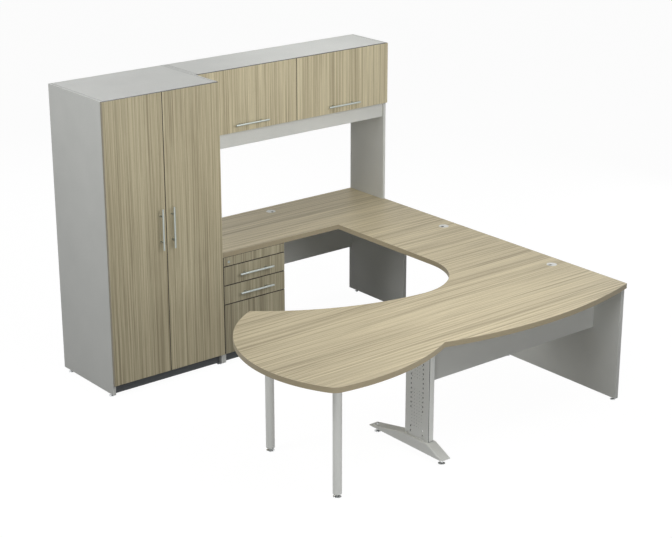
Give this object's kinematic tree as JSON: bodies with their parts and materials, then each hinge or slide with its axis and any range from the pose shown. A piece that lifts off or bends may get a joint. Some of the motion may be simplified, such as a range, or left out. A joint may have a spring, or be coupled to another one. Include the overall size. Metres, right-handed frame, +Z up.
{
  "type": "executive desk",
  "caption": "U-shaped executive desk suite: bow-fronted desk with a rounded meeting lobe, bridge, credenza with drawers, overhead hutch and wardrobe.",
  "frame": {"origin": "on the floor, below the middle of the whole suite's box", "axes": "+X to the right along the cabinet fronts, +Y from the desk's bow front to the cabinets' backs, +Z up"},
  "size_m": [2.4202, 2.668, 1.825],
  "materials": {
    "grey_laminate": "satin grey laminate on board",
    "wood_laminate": "pale streaked woodgrain laminate on board",
    "kick_board": "matt dark grey laminate",
    "edge_band": "matt brown edge band",
    "satin_steel": "satin nickel",
    "zinc_steel": "zinc plated",
    "leg_silver": "silver grey powder coat",
    "glide_chrome": "bright chrome",
    "grommet_plastic": "satin grey plastic"
  },
  "bodies": {
    "suite": {"wardrobe_left_side": "grey_laminate", "wardrobe_right_side": "grey_laminate", "wardrobe_top": "grey_laminate", "wardrobe_bottom": "grey_laminate", "wardrobe_back": "grey_laminate", "wardrobe_shelves": "grey_laminate", "kick_boards": "kick_board", "hutch_left_side": "grey_laminate", "hutch_right_side": "grey_laminate", "hutch_top": "grey_laminate", "hutch_bottom": "grey_laminate", "hutch_back": "grey_laminate", "hutch_divider": "grey_laminate", "hutch_valance": "grey_laminate", "hinge_arms": "zinc_steel", "credenza_top": "wood_laminate", "credenza_end_panel": "grey_laminate", "credenza_modesty": "grey_laminate", "pedestal_sides": "grey_laminate", "pedestal_back": "grey_laminate", "pedestal_bottom": "grey_laminate", "pedestal_lock_rail": "wood_laminate", "drawer_runners": "zinc_steel", "bridge_top": "wood_laminate", "desk_top": "wood_laminate", "edge_bands": "edge_band", "desk_end_panel": "grey_laminate", "desk_modesty": "grey_laminate", "leg_column": "leg_silver", "leg_foot": "leg_silver", "post_legs": "leg_silver", "glides": "glide_chrome", "grommet_liners": "grommet_plastic", "joining_plates": "zinc_steel"},
    "wardrobe_left_door": {"wardrobe_left_door": "wood_laminate", "wardrobe_left_pull": "satin_steel", "wardrobe_left_hinge_cups": "zinc_steel"},
    "wardrobe_right_door": {"wardrobe_right_door": "wood_laminate", "wardrobe_right_pull": "satin_steel", "wardrobe_right_hinge_cups": "zinc_steel"},
    "hutch_left_flap": {"hutch_left_flap": "wood_laminate", "hutch_left_pull": "satin_steel", "hutch_left_hinge_cups": "zinc_steel"},
    "hutch_right_flap": {"hutch_right_flap": "wood_laminate", "hutch_right_pull": "satin_steel", "hutch_right_hinge_cups": "zinc_steel"},
    "upper_drawer": {"upper_drawer_front": "wood_laminate", "upper_drawer_box": "zinc_steel", "upper_drawer_pull": "satin_steel"},
    "middle_drawer": {"middle_drawer_front": "wood_laminate", "middle_drawer_box": "zinc_steel", "middle_drawer_pull": "satin_steel"},
    "file_drawer": {"file_drawer_front": "wood_laminate", "file_drawer_box": "zinc_steel", "file_drawer_pull": "satin_steel"},
    "file_slide_middle": {"file_slide_middle": "zinc_steel"},
    "pedestal_lock": {"pedestal_lock": "satin_steel"},
    "credenza_grommet_cap": {"credenza_grommet_cap": "grommet_plastic"},
    "bridge_grommet_cap": {"bridge_grommet_cap": "grommet_plastic"},
    "desk_grommet_cap": {"desk_grommet_cap": "grommet_plastic"}
  },
  "joints": [
    {"name": "wardrobe_left_door_hinge", "type": "hinge", "parent": "suite", "child": "wardrobe_left_door", "pos_m": [-1.12539, 0.73604, 0.08], "axis": [0, 0, -1], "range_deg": [0, 90]},
    {"name": "wardrobe_right_door_hinge", "type": "hinge", "parent": "suite", "child": "wardrobe_right_door", "pos_m": [-0.31539, 0.73604, 0.08], "axis": [0, 0, 1], "range_deg": [0, 90]},
    {"name": "hutch_left_flap_hinge", "type": "hinge", "parent": "suite", "child": "hutch_left_flap", "pos_m": [-0.31539, 0.96905, 1.825], "axis": [-1, 0, 0], "range_deg": [0, 90]},
    {"name": "hutch_right_flap_hinge", "type": "hinge", "parent": "suite", "child": "hutch_right_flap", "pos_m": [0.44561, 0.96905, 1.825], "axis": [-1, 0, 0], "range_deg": [0, 90]},
    {"name": "upper_drawer_slide", "type": "slide", "parent": "suite", "child": "upper_drawer", "axis": [0, -1, 0], "range_m": [0, 0.375]},
    {"name": "middle_drawer_slide", "type": "slide", "parent": "suite", "child": "middle_drawer", "axis": [0, -1, 0], "range_m": [0, 0.375]},
    {"name": "file_drawer_slide", "type": "slide", "parent": "suite", "child": "file_drawer", "axis": [0, -1, 0], "range_m": [0, 0.48]},
    {"name": "file_slide_middle_slide", "type": "slide", "parent": "suite", "child": "file_slide_middle", "axis": [0, -1, 0], "range_m": [0, 0.24]},
    {"name": "pedestal_lock_turn", "type": "hinge", "parent": "suite", "child": "pedestal_lock", "pos_m": [-0.27339, 0.73604, 0.6852], "axis": [0, 1, 0], "range_deg": [0, 90]},
    {"name": "credenza_grommet_cap_lift", "type": "slide", "parent": "suite", "child": "credenza_grommet_cap", "axis": [0, 0, 1], "range_m": [0, 0.03]},
    {"name": "bridge_grommet_cap_lift", "type": "slide", "parent": "suite", "child": "bridge_grommet_cap", "axis": [0, 0, 1], "range_m": [0, 0.03]},
    {"name": "desk_grommet_cap_lift", "type": "slide", "parent": "suite", "child": "desk_grommet_cap", "axis": [0, 0, 1], "range_m": [0, 0.03]}
  ],
  "couplings": [
    {"joint": "file_slide_middle_slide", "follows": "file_drawer_slide", "ratio": 0.5}
  ]
}
